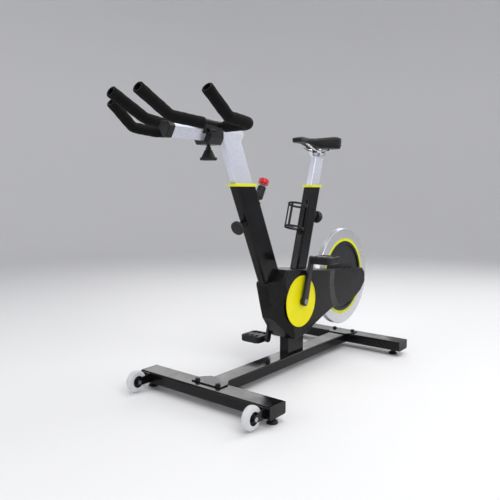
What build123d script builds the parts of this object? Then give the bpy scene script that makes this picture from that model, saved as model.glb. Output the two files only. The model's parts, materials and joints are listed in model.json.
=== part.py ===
# Indoor cycling bike with a rear flywheel, modelled in millimetres.
# +X points to the handlebar, +Y to the rider's left, +Z up. The floor is z = 0.
from build123d import *
from math import cos, sin, tan, radians, hypot
import os

os.makedirs("parts", exist_ok=True)

# ---------------------------------------------------------------- driving sizes
base_width = 580.0
bar_depth = 80.0
bar_height = 40.0
foot_height = 24.0
tube_wall = 2.5
front_bar_x = 386.0
rear_bar_x = -535.0
beam_width = 76.0
foot_inset_front = 22.0
foot_inset_rear = 46.0
foot_radius = 18.0

wheel_radius = 38.0
wheel_width = 24.0
wheel_floor_gap = 4.0
wheel_y = 257.0
wheel_forward = 90.0

post_angle = 24.5
post_ref_x = 193.0
post_ref_z = 706.0
post_tube_depth = 94.0
post_tube_width = 39.0
post_depth = 83.0
post_width = 28.0
seat_angle = 16.7
seat_ref_x = -251.0
seat_ref_z = 724.0
seat_tube_depth = 70.0
seat_tube_width = 38.0
seat_post_depth = 60.0
seat_post_width = 28.0
tube_top_z = 720.0
collar_height = 10.0
collar_lip = 7.0
slide_gap = 0.3

neck_x = -110.0
neck_depth = 106.0
neck_width = 40.0
neck_top = 305.0

crank_x = -92.0
crank_z = 277.0
crank_length = 170.0
crank_angle = 16.0
crank_y = 72.0
crank_thick = 14.0
disc_radius = 101.0
disc_face_y = 58.0
drive_radius = 96.0
belt_y = 36.0
belt_width = 10.0
belt_thick = 3.0
belt_gap = 0.4

wheel_axis_x = -504.0
wheel_axis_z = 324.0
flywheel_radius = 214.0
flywheel_half = 12.0
ring_outer = 0.797 * flywheel_radius
ring_inner = 0.737 * flywheel_radius
gear_ratio = 4.0
small_radius = drive_radius / gear_ratio
stay_inner_y = 18.0
stay_thick = 5.0
axle_radius = 8.5
run_gap = 0.05

rail_bottom_z = 864.0
rail_height = 46.0
rail_front_x = 541.0
rail_back_x = 220.0
carriage_x = 381.0
carriage_length = 79.0
bar_tube_radius = 14.0
bar_tube_wall = 2.0
foam_radius = 18.0
crossbar_x = 404.0
crossbar_z = 901.0
horn_y = 203.0

pivot_x = -250.0
pivot_z = 318.0
brake_pin_radius = 4.0

box_top_z = 845.0
saddle_nose_x = -111.0
saddle_length = 270.0
saddle_width = 156.0
saddle_rail_z = 869.0
saddle_rail_y = 21.0
saddle_rail_radius = 3.5
saddle_base_z = 885.0


# ---------------------------------------------------------------- shared helpers
def side_plane(y):
    # Sketch x, y lie on world X, Z; a positive extrusion runs towards -Y.
    return Plane(origin=(0, y, 0), x_dir=(1, 0, 0), z_dir=(0, -1, 0))


def tube_plane(ref_x, ref_z, lean, along=0.0):
    # Section plane of a leaning tube: local x is fore-aft, local z runs up the tube.
    a = radians(lean)
    origin = (ref_x + along * sin(a), 0, ref_z + along * cos(a))
    return Plane(origin=origin, x_dir=(cos(a), 0, -sin(a)), z_dir=(sin(a), 0, cos(a)))


def front_plane(z):
    return tube_plane(post_ref_x, post_ref_z, post_angle, (z - post_ref_z) / cos(radians(post_angle)))


def seat_plane(z):
    return tube_plane(seat_ref_x, seat_ref_z, -seat_angle, (z - seat_ref_z) / cos(radians(seat_angle)))


def front_x(z):
    return post_ref_x + (z - post_ref_z) * tan(radians(post_angle))


def seat_x(z):
    return seat_ref_x - (z - seat_ref_z) * tan(radians(seat_angle))


def leaning_box(plane, length, depth, width, corner):
    # Private solid: a rounded box rising from the given section plane.
    with BuildPart(mode=Mode.PRIVATE) as body:
        with BuildSketch(plane):
            RectangleRounded(depth, width, corner)
        extrude(amount=length)
    return body.part


def block(x0, x1, y0, y1, z0, z1):
    centre = Vector((x0 + x1) / 2, (y0 + y1) / 2, (z0 + z1) / 2)
    return Pos(centre) * Box(x1 - x0, y1 - y0, z1 - z0, mode=Mode.PRIVATE)


def rod_y(x, z, y0, y1, radius):
    with BuildPart(mode=Mode.PRIVATE) as body:
        with BuildSketch(side_plane(y1)):
            with Locations((x, z)):
                Circle(radius)
        extrude(amount=y1 - y0)
    return body.part


def rod_z(x, y, z0, z1, radius):
    with BuildPart(mode=Mode.PRIVATE) as body:
        with BuildSketch(Plane.XY.offset(z0)):
            with Locations((x, y)):
                Circle(radius)
        extrude(amount=z1 - z0)
    return body.part


def bend_points(points, radius):
    # Start, tangent, middle and end points of a path with rounded corners.
    steps = []
    last = Vector(*points[0])
    for i in range(1, len(points) - 1):
        here = Vector(*points[i])
        back = (Vector(*points[i - 1]) - here).normalized()
        ahead = (Vector(*points[i + 1]) - here).normalized()
        half = radians(back.get_angle(ahead)) / 2
        reach = radius / tan(half)
        centre = here + (back + ahead).normalized() * (radius / sin(half))
        middle = centre + (here - centre).normalized() * radius
        steps.append(("line", last, here + back * reach))
        steps.append(("arc", here + back * reach, middle, here + ahead * reach))
        last = here + ahead * reach
    steps.append(("line", last, Vector(*points[-1])))
    return steps


def bent_tube(points, bend, outer, inner=0.0):
    with BuildPart(mode=Mode.PRIVATE) as body:
        with BuildLine() as path:
            for step in bend_points(points, bend):
                if step[0] == "line":
                    Line(step[1], step[2])
                else:
                    ThreePointArc(step[1], step[2], step[3])
        start = Plane(origin=path.line @ 0, z_dir=path.line % 0)
        with BuildSketch(start):
            Circle(outer)
            if inner > 0:
                Circle(inner, mode=Mode.SUBTRACT)
        sweep(path=path.line)
    return body.part


def mirrored(points):
    return [(p[0], -p[1], p[2]) for p in points]


def save(builder, name):
    builder.part.label = name
    export_step(builder.part, f"parts/{name}.step")


# ---------------------------------------------------------------- floor base
bar_bottom = foot_height
bar_top = foot_height + bar_height
cap_thick = 3.0
cap_insert = 5.0
joint_bolt_y = 46.0
joint_plate = 4.0
bolt_radius = 5.0
bolt_drop = 18.0


def foot_places(bar_x, inset):
    return [(bar_x, base_width / 2 - inset), (bar_x, inset - base_width / 2)]


def stabiliser(name, bar_x, inset):
    length = base_width - 2 * cap_thick
    with BuildPart() as bar:
        with BuildSketch(Plane.XZ.offset(-length / 2)):
            with Locations((bar_x, bar_bottom + bar_height / 2)):
                RectangleRounded(bar_depth, bar_height, 6)
        extrude(amount=length)
        with BuildSketch(Plane.XZ.offset(-length / 2)):
            with Locations((bar_x, bar_bottom + bar_height / 2)):
                RectangleRounded(bar_depth - 2 * tube_wall, bar_height - 2 * tube_wall, 4)
        extrude(amount=length, mode=Mode.SUBTRACT)
        for x, y in foot_places(bar_x, inset):
            add(rod_z(x, y, bar_bottom, bar_bottom + 14, 11))
            add(rod_z(x, y, bar_bottom - 1, bar_bottom + 15, 5 + run_gap), mode=Mode.SUBTRACT)
        for y in (-joint_bolt_y, joint_bolt_y):
            add(rod_z(bar_x, y, bar_top - 6, bar_top + 1, bolt_radius), mode=Mode.SUBTRACT)
    save(bar, name)


stabiliser("front_stabiliser", front_bar_x, foot_inset_front)
stabiliser("rear_stabiliser", rear_bar_x, foot_inset_rear)

with BuildPart() as end_caps:
    for bar_x in (front_bar_x, rear_bar_x):
        for side in (-1, 1):
            inner_y = side * (base_width / 2 - cap_thick)
            with BuildSketch(Plane.XZ.offset(-inner_y)):
                with Locations((bar_x, bar_bottom + bar_height / 2)):
                    RectangleRounded(bar_depth, bar_height, 6)
            extrude(amount=-side * cap_thick)
            with BuildSketch(Plane.XZ.offset(-inner_y)):
                with Locations((bar_x, bar_bottom + bar_height / 2)):
                    RectangleRounded(bar_depth - 2 * tube_wall - 0.4, bar_height - 2 * tube_wall - 0.4, 4)
                    RectangleRounded(bar_depth - 14, bar_height - 14, 2, mode=Mode.SUBTRACT)
            extrude(amount=side * cap_insert)
save(end_caps, "stabiliser_end_caps")

beam_front_x = front_bar_x - bar_depth / 2
beam_back_x = rear_bar_x + bar_depth / 2

with BuildPart() as main_beam:
    with BuildSketch(Plane.YZ.offset(beam_back_x)):
        with Locations((0, bar_bottom + bar_height / 2)):
            RectangleRounded(beam_width, bar_height, 6)
    extrude(amount=beam_front_x - beam_back_x)
    with BuildSketch(Plane.YZ.offset(beam_back_x + 4)):
        with Locations((0, bar_bottom + bar_height / 2)):
            RectangleRounded(beam_width - 2 * tube_wall, bar_height - 2 * tube_wall, 4)
    extrude(amount=beam_front_x - beam_back_x - 8, mode=Mode.SUBTRACT)
    for bar_x, way in ((front_bar_x, 1), (rear_bar_x, -1)):
        inner = bar_x - way * (bar_depth / 2 + 20)
        outer = bar_x + way * 10
        with BuildSketch(Plane.XY.offset(bar_top)):
            with BuildLine():
                Polyline(
                    (inner, 40), (inner, -40), (bar_x - way * 30, -64), (outer, -64),
                    (outer, 64), (bar_x - way * 30, 64), close=True,
                )
            make_face()
        extrude(amount=joint_plate)
        for y in (-joint_bolt_y, joint_bolt_y):
            add(rod_z(bar_x, y, bar_top - 1, bar_top + joint_plate + 1, bolt_radius), mode=Mode.SUBTRACT)
save(main_beam, "main_beam")

with BuildPart() as base_bolts:
    for bar_x in (front_bar_x, rear_bar_x):
        for y in (-joint_bolt_y, joint_bolt_y):
            top = bar_top + joint_plate
            add(rod_z(bar_x, y, top - bolt_drop, top + 1, bolt_radius - run_gap))
            add(rod_z(bar_x, y, top, top + 1.6, 10.5))
            with BuildSketch(Plane.XY.offset(top + 1.6)):
                with Locations((bar_x, y)):
                    RegularPolygon(8, 6)
            extrude(amount=6)
save(base_bolts, "base_bolts")


def levelling_foot(name, x, y):
    with BuildPart() as foot:
        with BuildSketch(Plane(origin=(x, y, 0), x_dir=(1, 0, 0), z_dir=(0, -1, 0))):
            with BuildLine():
                Polyline(
                    (0, 0), (foot_radius, 0), (foot_radius, 5), (foot_radius - 5, 10),
                    (9, 10), (9, 15), (5, 15), (5, bar_bottom + 13), (0, bar_bottom + 13), close=True,
                )
            make_face()
        revolve(axis=Axis((x, y, 0), (0, 0, 1)))
    save(foot, name)


for label, bar_x, inset in (("front", front_bar_x, foot_inset_front), ("rear", rear_bar_x, foot_inset_rear)):
    left, right = foot_places(bar_x, inset)
    levelling_foot(f"{label}_left_foot", *left)
    levelling_foot(f"{label}_right_foot", *right)

# ---------------------------------------------------------------- transport wheels
roller_x = front_bar_x + wheel_forward
roller_z = wheel_radius + wheel_floor_gap
ear_gap = 2.0
ear_thick = 3.0
hub_radius = 21.0

with BuildPart() as brackets:
    for side in (-1, 1):
        for inner in (-1, 1):
            near = wheel_width / 2 + ear_gap
            y0 = side * wheel_y + inner * near
            y1 = y0 + inner * ear_thick
            with BuildSketch(side_plane(max(y0, y1))):
                with BuildLine():
                    Polyline(
                        (front_bar_x + bar_depth / 2 + 3, bar_bottom + 4),
                        (roller_x - 2, roller_z - 12), (roller_x + 10, roller_z - 7),
                        (roller_x + 10, roller_z + 7), (roller_x - 2, roller_z + 12),
                        (front_bar_x + bar_depth / 2 + 3, bar_top - 3), close=True,
                    )
                make_face()
            extrude(amount=ear_thick)
            add(rod_y(roller_x, roller_z, min(y0, y1) - 1, max(y0, y1) + 1, 4 + run_gap), mode=Mode.SUBTRACT)
        reach = wheel_width / 2 + ear_gap + ear_thick
        add(block(
            front_bar_x + bar_depth / 2, front_bar_x + bar_depth / 2 + 4,
            side * wheel_y - reach, side * wheel_y + reach, bar_bottom + 4, bar_top - 3,
        ))
save(brackets, "wheel_brackets")

with BuildPart() as wheel_axles:
    for side in (-1, 1):
        reach = wheel_width / 2 + ear_gap + ear_thick
        add(rod_y(roller_x, roller_z, side * wheel_y - reach - 4, side * wheel_y + reach + 4, 4))
        add(rod_y(roller_x, roller_z, side * wheel_y + reach, side * wheel_y + reach + 4, 7))
        add(rod_y(roller_x, roller_z, side * wheel_y - reach - 4, side * wheel_y - reach, 7))
save(wheel_axles, "wheel_axles")


def roller(prefix, side):
    centre = side * wheel_y
    half = wheel_width / 2
    turn = Axis((roller_x, centre, roller_z), (0, 1, 0))
    with BuildPart() as tyre:
        with BuildSketch(Plane(origin=(roller_x, centre, roller_z), x_dir=(0, 1, 0), z_dir=(1, 0, 0))):
            with BuildLine():
                Polyline((-half, hub_radius), (-half, wheel_radius - 7), (-half + 3, wheel_radius - 2))
                ThreePointArc((-half + 3, wheel_radius - 2), (0, wheel_radius), (half - 3, wheel_radius - 2))
                Polyline((half - 3, wheel_radius - 2), (half, wheel_radius - 7), (half, hub_radius), (-half, hub_radius))
            make_face()
        revolve(axis=turn)
    save(tyre, f"{prefix}_wheel_tyre")
    with BuildPart() as hub:
        with BuildSketch(Plane(origin=(roller_x, centre, roller_z), x_dir=(0, 1, 0), z_dir=(1, 0, 0))):
            with BuildLine():
                Polyline(
                    (-half, 4 + run_gap), (-half, 12), (-half + 5, 13), (-half + 5, hub_radius - 3),
                    (-half, hub_radius - 1), (-half, hub_radius), (half, hub_radius), (half, hub_radius - 1),
                    (half - 5, hub_radius - 3), (half - 5, 13), (half, 12), (half, 4 + run_gap), close=True,
                )
            make_face()
        revolve(axis=turn)
    save(hub, f"{prefix}_wheel_hub")


roller("left", 1)
roller("right", -1)

# ---------------------------------------------------------------- upright frame
pin_z_front = 612.0
pin_z_seat = 618.0
pin_radius = 6.0
boss_radius = 13.0
boss_length = 16.0
shell_radius = 22.0
shell_half = 34.0
bearing_radius = 18.0
bearing_width = 12.0
spindle_radius = 8.5


def face_plane(plane, offset, way):
    # Plane on the fore (+1) or aft (-1) face of a leaning tube, normal pointing outwards.
    origin = plane.origin + plane.x_dir * (way * offset)
    return Plane(origin=origin, x_dir=(0, 1, 0), z_dir=plane.x_dir * way)


front_pin_plane = face_plane(front_plane(pin_z_front), post_tube_depth / 2, 1)
seat_pin_plane = face_plane(seat_plane(pin_z_seat), seat_tube_depth / 2, -1)


def pin_boss(plane, start, length, radius):
    with BuildPart(mode=Mode.PRIVATE) as body:
        with BuildSketch(plane.offset(start)):
            Circle(radius)
        extrude(amount=length)
    return body.part


with BuildPart() as front_post:
    post_low = 197.0
    shaft_low = front_plane(post_low - 60)
    run_length = (tube_top_z - post_low + 100) / cos(radians(post_angle))
    add(leaning_box(shaft_low, run_length, post_tube_depth, post_tube_width, 8))
    add(block(-400, 600, -60, 60, tube_top_z, tube_top_z + 200), mode=Mode.SUBTRACT)
    add(block(-400, 600, -60, 60, 0, post_low), mode=Mode.SUBTRACT)
    add(block(neck_x - neck_depth / 2, neck_x + neck_depth / 2, -neck_width / 2, neck_width / 2,
              bar_top, neck_top))
    add(pin_boss(front_pin_plane, -3, boss_length + 3, boss_radius))
    cavity_low = front_plane(300)
    add(leaning_box(cavity_low, run_length, post_tube_depth - 2 * tube_wall,
                    post_tube_width - 2 * tube_wall, 5.5), mode=Mode.SUBTRACT)
    add(pin_boss(front_pin_plane, -10, boss_length + 11, pin_radius + run_gap), mode=Mode.SUBTRACT)
    add(rod_y(crank_x, crank_z, -shell_half, shell_half, shell_radius))
    add(rod_y(crank_x, crank_z, -shell_half - 1, shell_half + 1, bearing_radius), mode=Mode.SUBTRACT)
save(front_post, "front_post")

with BuildPart() as seat_tube:
    seat_low = seat_plane(neck_top - 60)
    seat_run = (tube_top_z - neck_top + 160) / cos(radians(seat_angle))
    add(leaning_box(seat_low, seat_run, seat_tube_depth, seat_tube_width, 8))
    add(block(-600, 300, -60, 60, tube_top_z, tube_top_z + 200), mode=Mode.SUBTRACT)
    add(block(-600, 300, -60, 60, 0, neck_top), mode=Mode.SUBTRACT)
    add(pin_boss(seat_pin_plane, -3, boss_length + 3, boss_radius))
    # Bracket for the brake pivot behind the tube.
    with BuildSketch(side_plane(5)):
        with BuildLine():
            Polyline((-150, 330), (-176, 370), (-240, 332), (-262, 322), (-262, 310), (-250, 306), (-158, 308),
                     close=True)
        make_face()
    extrude(amount=10)
    add(leaning_box(seat_plane(neck_top + 30), seat_run, seat_tube_depth - 2 * tube_wall,
                    seat_tube_width - 2 * tube_wall, 5.5), mode=Mode.SUBTRACT)
    add(pin_boss(seat_pin_plane, -10, boss_length + 11, pin_radius + run_gap), mode=Mode.SUBTRACT)
    add(rod_y(pivot_x, pivot_z, -8, 8, brake_pin_radius + run_gap), mode=Mode.SUBTRACT)
save(seat_tube, "seat_tube")

hub_boss_radius = 26.0
wheel_bearing_radius = 17.5
stay_outer_y = stay_inner_y + stay_thick
boss_outer_y = stay_inner_y + 11.0


def flywheel_stay(side):
    low, high = (stay_inner_y, stay_outer_y) if side > 0 else (-stay_outer_y, -stay_inner_y)
    foot = neck_width / 2
    with BuildPart(mode=Mode.PRIVATE) as stay:
        with BuildSketch(side_plane(high)):
            with BuildLine():
                Polyline((-166, 188), (-166, 252), (wheel_axis_x + 14, wheel_axis_z + 24),
                         (wheel_axis_x, wheel_axis_z), (wheel_axis_x + 4, wheel_axis_z - 26), close=True)
            make_face()
            with Locations((wheel_axis_x, wheel_axis_z)):
                Circle(hub_boss_radius)
        extrude(amount=stay_thick)
        boss = (stay_inner_y, boss_outer_y) if side > 0 else (-boss_outer_y, -stay_inner_y)
        add(rod_y(wheel_axis_x, wheel_axis_z, boss[0], boss[1], hub_boss_radius - 2))
        tab = (foot, foot + 5) if side > 0 else (-foot - 5, -foot)
        add(block(-168, -96 - 24, tab[0], tab[1], 186, 252))
        add(rod_y(wheel_axis_x, wheel_axis_z, -60, 60, wheel_bearing_radius), mode=Mode.SUBTRACT)
    return stay.part


with BuildPart() as stays:
    add(flywheel_stay(1))
    add(flywheel_stay(-1))
save(stays, "flywheel_stays")

with BuildPart() as frame_bearings:
    for side in (-1, 1):
        y0, y1 = sorted((side * (shell_half - bearing_width), side * shell_half))
        add(rod_y(crank_x, crank_z, y0, y1, bearing_radius - run_gap))
        add(rod_y(crank_x, crank_z, y0 - 1, y1 + 1, spindle_radius + run_gap), mode=Mode.SUBTRACT)
        y2, y3 = sorted((side * stay_inner_y, side * boss_outer_y))
        add(rod_y(wheel_axis_x, wheel_axis_z, y2, y3, wheel_bearing_radius - run_gap))
        add(rod_y(wheel_axis_x, wheel_axis_z, y2 - 1, y3 + 1, axle_radius + run_gap), mode=Mode.SUBTRACT)
save(frame_bearings, "frame_bearings")


# ---------------------------------------------------------------- collars with their liners
def collar(name, section_at, centre_x, tube_depth, tube_width, inner_depth, inner_width, lean):
    liner_length = 120.0
    stretch = 1 / cos(radians(lean))
    with BuildPart() as ring:
        add(leaning_box(section_at(tube_top_z - liner_length), liner_length * stretch + 60,
                        tube_depth - 2 * tube_wall - 0.2, tube_width - 2 * tube_wall - 0.2, 5.4))
        add(block(-600, 600, -60, 60, tube_top_z, tube_top_z + 200), mode=Mode.SUBTRACT)
        middle = centre_x(tube_top_z + collar_height / 2)
        with BuildSketch(Plane.XY.offset(tube_top_z)):
            with Locations((middle, 0)):
                RectangleRounded(tube_depth * stretch + 2 * collar_lip, tube_width + 2 * 5, 10)
        extrude(amount=collar_height)
        top = ring.faces().sort_by(Axis.Z)[-1]
        chamfer(top.edges(), 2)
        add(leaning_box(section_at(tube_top_z - liner_length - 40), liner_length * stretch + 160,
                        inner_depth + 2 * slide_gap, inner_width + 2 * slide_gap, 5 + slide_gap),
            mode=Mode.SUBTRACT)
        pin_line = front_pin_plane if lean > 20 else seat_pin_plane
        add(pin_boss(pin_line, -20, 40, pin_radius + 2), mode=Mode.SUBTRACT)
    save(ring, name)


collar("front_collar", front_plane, front_x, post_tube_depth, post_tube_width, post_depth, post_width, post_angle)
collar("seat_collar", seat_plane, seat_x, seat_tube_depth, seat_tube_width, seat_post_depth, seat_post_width,
       seat_angle)

# ---------------------------------------------------------------- locking pins
pin_grip_radius = 25.0
pin_travel = 12.0
groove_depth = 6.0


def locking_pin(name, plane, wall_to_post):
    # Spring pin in a welded boss: its tip rides in the groove of the sliding post.
    tip = -(wall_to_post + groove_depth - 1.5)
    with BuildPart() as pin:
        add(pin_boss(plane, tip, boss_length + 10 - tip, pin_radius))
        add(pin_boss(plane, boss_length + 2, 8, 10))
        with BuildSketch(plane.offset(boss_length + 10)):
            Circle(pin_grip_radius - 7)
        with BuildSketch(plane.offset(boss_length + 17)):
            Circle(pin_grip_radius)
        loft()
        add(pin_boss(plane, boss_length + 17, 14, pin_grip_radius))
        crown = pin.faces().filter_by(GeomType.PLANE).sort_by(Axis(plane.origin, plane.z_dir))[-1]
        chamfer(crown.edges(), 4)
    save(pin, name)


front_wall_gap = (post_tube_depth - post_depth) / 2
seat_wall_gap = (seat_tube_depth - seat_post_depth) / 2
locking_pin("front_locking_pin", front_pin_plane, front_wall_gap)
locking_pin("seat_locking_pin", seat_pin_plane, seat_wall_gap)

# ---------------------------------------------------------------- flywheel
with BuildPart() as flywheel_rim:
    add(rod_y(wheel_axis_x, wheel_axis_z, -flywheel_half, flywheel_half, flywheel_radius))
    chamfer(flywheel_rim.edges(), 1.5)
    add(rod_y(wheel_axis_x, wheel_axis_z, -flywheel_half - 1, flywheel_half + 1, ring_outer), mode=Mode.SUBTRACT)
save(flywheel_rim, "flywheel_rim")

with BuildPart() as flywheel_ring:
    add(rod_y(wheel_axis_x, wheel_axis_z, -flywheel_half + 0.5, flywheel_half - 0.5, ring_outer))
    add(rod_y(wheel_axis_x, wheel_axis_z, -flywheel_half, flywheel_half, ring_inner), mode=Mode.SUBTRACT)
save(flywheel_ring, "flywheel_ring")

web_half = 6.0
with BuildPart() as flywheel_disc:
    add(rod_y(wheel_axis_x, wheel_axis_z, -web_half, web_half, ring_inner))
    add(rod_y(wheel_axis_x, wheel_axis_z, -flywheel_half + 1, flywheel_half - 1, ring_inner))
    for way in (-1, 1):
        y0, y1 = sorted((way * web_half, way * flywheel_half))
        with BuildSketch(side_plane(y1)):
            with Locations((wheel_axis_x, wheel_axis_z)):
                Circle(ring_inner - 12)
                Circle(44, mode=Mode.SUBTRACT)
        extrude(amount=y1 - y0, mode=Mode.SUBTRACT)
    add(rod_y(wheel_axis_x, wheel_axis_z, -20, 20, axle_radius), mode=Mode.SUBTRACT)
save(flywheel_disc, "flywheel_disc")

belt_low = belt_y - belt_width / 2
belt_high = belt_y + belt_width / 2


def belt_wheel(x, z, radius):
    # Toothless belt track between two thin flanges.
    track = rod_y(x, z, belt_low - 1, belt_high + 1, radius)
    flange_high = rod_y(x, z, belt_high, belt_high + 1.5, radius + 2.4)
    flange_low = rod_y(x, z, belt_low - 1.5, belt_low, radius + 2.4)
    return [track, flange_high, flange_low]


with BuildPart() as drive_pulley:
    add(belt_wheel(crank_x, crank_z, drive_radius))
    with BuildSketch(side_plane(belt_high + 2)):
        with Locations((crank_x, crank_z)):
            with PolarLocations(58, 6):
                Circle(19)
    extrude(amount=belt_width + 4, mode=Mode.SUBTRACT)
    add(rod_y(crank_x, crank_z, belt_low - 1.5, belt_high + 2, shell_radius + 4))
    add(rod_y(crank_x, crank_z, belt_low - 5, shell_half + 1, shell_radius + 1), mode=Mode.SUBTRACT)
    add(rod_y(crank_x, crank_z, belt_low - 9, belt_high + 9, spindle_radius), mode=Mode.SUBTRACT)
save(drive_pulley, "drive_pulley")

axle_left_y = 46.0
with BuildPart() as flywheel_axle:
    add(rod_y(wheel_axis_x, wheel_axis_z, -38, axle_left_y, axle_radius))
    for way in (-1, 1):
        y0, y1 = sorted((way * (flywheel_half - 1), way * (stay_inner_y - 1.5)))
        add(rod_y(wheel_axis_x, wheel_axis_z, y0, y1, 13))
    add(rod_y(wheel_axis_x, wheel_axis_z, -38, -31, 12))
    add(belt_wheel(wheel_axis_x, wheel_axis_z, small_radius))
save(flywheel_axle, "flywheel_axle")


def belt_loop(grow):
    with BuildSketch(side_plane(belt_high), mode=Mode.PRIVATE) as loop:
        with Locations((crank_x, crank_z)):
            Circle(drive_radius + grow)
        with Locations((wheel_axis_x, wheel_axis_z)):
            Circle(small_radius + grow)
        make_hull()
    return loop.sketch


with BuildPart() as belt:
    add(belt_loop(belt_gap + belt_thick))
    extrude(amount=belt_width - 1, dir=(0, -1, 0))
    inner = belt_loop(belt_gap)
    extrude(inner, amount=belt_width - 1, dir=(0, -1, 0), mode=Mode.SUBTRACT)
    belt.part.position = (0, -0.5, 0)
save(belt, "drive_belt")

# ---------------------------------------------------------------- crank set
spindle_half = crank_y + crank_thick / 2
left_end_x = crank_x - crank_length * sin(radians(crank_angle))
left_end_z = crank_z + crank_length * cos(radians(crank_angle))
right_end_x = 2 * crank_x - left_end_x
right_end_z = 2 * crank_z - left_end_z

with BuildPart() as crank_axle:
    add(rod_y(crank_x, crank_z, -spindle_half + 2, spindle_half - 2, spindle_radius))
    for side in (-1, 1):
        y0, y1 = sorted((side * (shell_half + 0.6), side * (shell_half + 3)))
        if side < 0:
            add(rod_y(crank_x, crank_z, y0, y1, 11.5))
save(crank_axle, "crank_axle")


def crank_arm(name, side, end_x, end_z):
    y0 = side * crank_y - crank_thick / 2
    with BuildPart() as arm:
        with BuildSketch(side_plane(y0 + crank_thick)):
            with Locations((crank_x, crank_z)):
                Circle(17)
            with Locations((end_x, end_z)):
                Circle(12.5)
            make_hull()
        extrude(amount=crank_thick)
        chamfer(arm.edges().filter_by(GeomType.LINE), 2.5)
        inner0, inner1 = sorted((side * (crank_y - crank_thick / 2 - 4), side * (crank_y - crank_thick / 2)))
        add(rod_y(crank_x, crank_z, inner0, inner1, 15))
        add(rod_y(crank_x, crank_z, y0 - 9, y0 + crank_thick + 9, spindle_radius), mode=Mode.SUBTRACT)
        outer0, outer1 = sorted((side * (spindle_half - 2), side * (spindle_half + 1)))
        add(rod_y(crank_x, crank_z, outer0, outer1, 11.5), mode=Mode.SUBTRACT)
        add(rod_y(end_x, end_z, y0 - 1, y0 + crank_thick + 1, 7), mode=Mode.SUBTRACT)
    save(arm, name)


crank_arm("left_crank", 1, left_end_x, left_end_z)
crank_arm("right_crank", -1, right_end_x, right_end_z)

with BuildPart() as crank_bolts:
    for side in (-1, 1):
        y0, y1 = sorted((side * (spindle_half - 2), side * (spindle_half + 1.5)))
        add(rod_y(crank_x, crank_z, y0, y1, 10.5))
        with BuildSketch(side_plane(y1 + 0.01 if side > 0 else y0 + 4)):
            with Locations((crank_x, crank_z)):
                RegularPolygon(5, 6)
        extrude(amount=4.01, mode=Mode.SUBTRACT)
save(crank_bolts, "crank_bolts")

with BuildPart() as pulley_disc:
    add(rod_y(crank_x, crank_z, disc_face_y - 4, disc_face_y, disc_radius))
    chamfer(pulley_disc.edges(), 1)
    with BuildSketch(side_plane(disc_face_y + 0.01)):
        with Locations((crank_x, crank_z)):
            Circle(disc_radius - 7)
            Circle(24, mode=Mode.SUBTRACT)
    extrude(amount=1.2, mode=Mode.SUBTRACT)
    add(rod_y(crank_x, crank_z, belt_high + 2, disc_face_y - 4, 20))
    add(rod_y(crank_x, crank_z, 0, 80, spindle_radius), mode=Mode.SUBTRACT)
save(pulley_disc, "pulley_disc")

# ---------------------------------------------------------------- pedals
pedal_start = 6.0
pedal_width = 92.0
pedal_depth = 88.0
pedal_thick = 26.0
pedal_pin = 6.0
pedal_bore = pedal_pin + run_gap


def pedal_span(side):
    near = side * (spindle_half + pedal_start)
    far = side * (spindle_half + pedal_start + pedal_width)
    return min(near, far), max(near, far)


with BuildPart() as pedal_spindles:
    for side, x, z in ((1, left_end_x, left_end_z), (-1, right_end_x, right_end_z)):
        inner = side * (crank_y - crank_thick / 2 + 1)
        collar_end = side * (spindle_half + pedal_start - 1)
        tip = side * (spindle_half + pedal_start + pedal_width - 14)
        add(rod_y(x, z, min(inner, side * spindle_half), max(inner, side * spindle_half), 7))
        add(rod_y(x, z, min(side * spindle_half, collar_end), max(side * spindle_half, collar_end), 9))
        add(rod_y(x, z, min(collar_end, tip), max(collar_end, tip), pedal_pin))
save(pedal_spindles, "pedal_spindles")


def pedal(name, side, x, z):
    y0, y1 = pedal_span(side)
    with BuildPart() as body:
        with BuildSketch(Plane(origin=(x, (y0 + y1) / 2, z - pedal_thick / 2), z_dir=(0, 0, 1))):
            RectangleRounded(pedal_depth, pedal_width, 12)
        extrude(amount=pedal_thick)
        rims = body.faces().filter_by(Axis.Z)
        chamfer(rims.edges(), 2.5)
        for way in (-1, 1):
            with BuildSketch(Plane(origin=(x + way * 25.5, (y0 + y1) / 2, z - pedal_thick), z_dir=(0, 0, 1))):
                with GridLocations(0, 24, 1, 3):
                    RectangleRounded(21, 18, 3)
            extrude(amount=2 * pedal_thick, mode=Mode.SUBTRACT)
        for way in (-1, 1):
            with BuildSketch(Plane(origin=(x, (y0 + y1) / 2, z + way * pedal_thick / 2), z_dir=(0, 0, way))):
                with GridLocations(80, 0, 2, 1):
                    with GridLocations(0, 8, 1, 8):
                        Rectangle(4, 3.4)
            extrude(amount=1.6)
        bore_end = side * (spindle_half + pedal_start + pedal_width - 12)
        bore_start = side * (spindle_half + pedal_start - 2)
        add(rod_y(x, z, min(bore_start, bore_end), max(bore_start, bore_end), pedal_bore), mode=Mode.SUBTRACT)
    save(body, name)


pedal("left_pedal", 1, left_end_x, left_end_z)
pedal("right_pedal", -1, right_end_x, right_end_z)

# ---------------------------------------------------------------- drive covers
cover_wall = 2.5
cover_round = 7.0
dish_inner = 150.0
dish_slope = 50.0
cover_rear_y = 50.0
right_cover_y = 50.0
flywheel_slot_x = -286.0
flywheel_clear_y = 15.0
cover_outline = [
    (2, 410), (-92, 402), (-344, 376), (-522, 363), (-606, 354), (-633, 330), (-635, 288),
    (-596, 252), (-545, 228), (-490, 214), (-340, 212), (-262, 190), (-188, 164), (-150, 146), (-95, 134),
    (-44, 134), (-20, 156), (21, 195), (52, 226), (66, 265), (82, 325), (94, 368), (40, 370),
]


def cover_sketch(plane, shrink):
    with BuildSketch(plane, mode=Mode.PRIVATE) as shape:
        with BuildLine():
            Polyline(*cover_outline, close=True)
        make_face()
        fillet(shape.vertices(), 12)
        if shrink > 0:
            offset(amount=-shrink, kind=Kind.INTERSECTION)
    return shape.sketch


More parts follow.
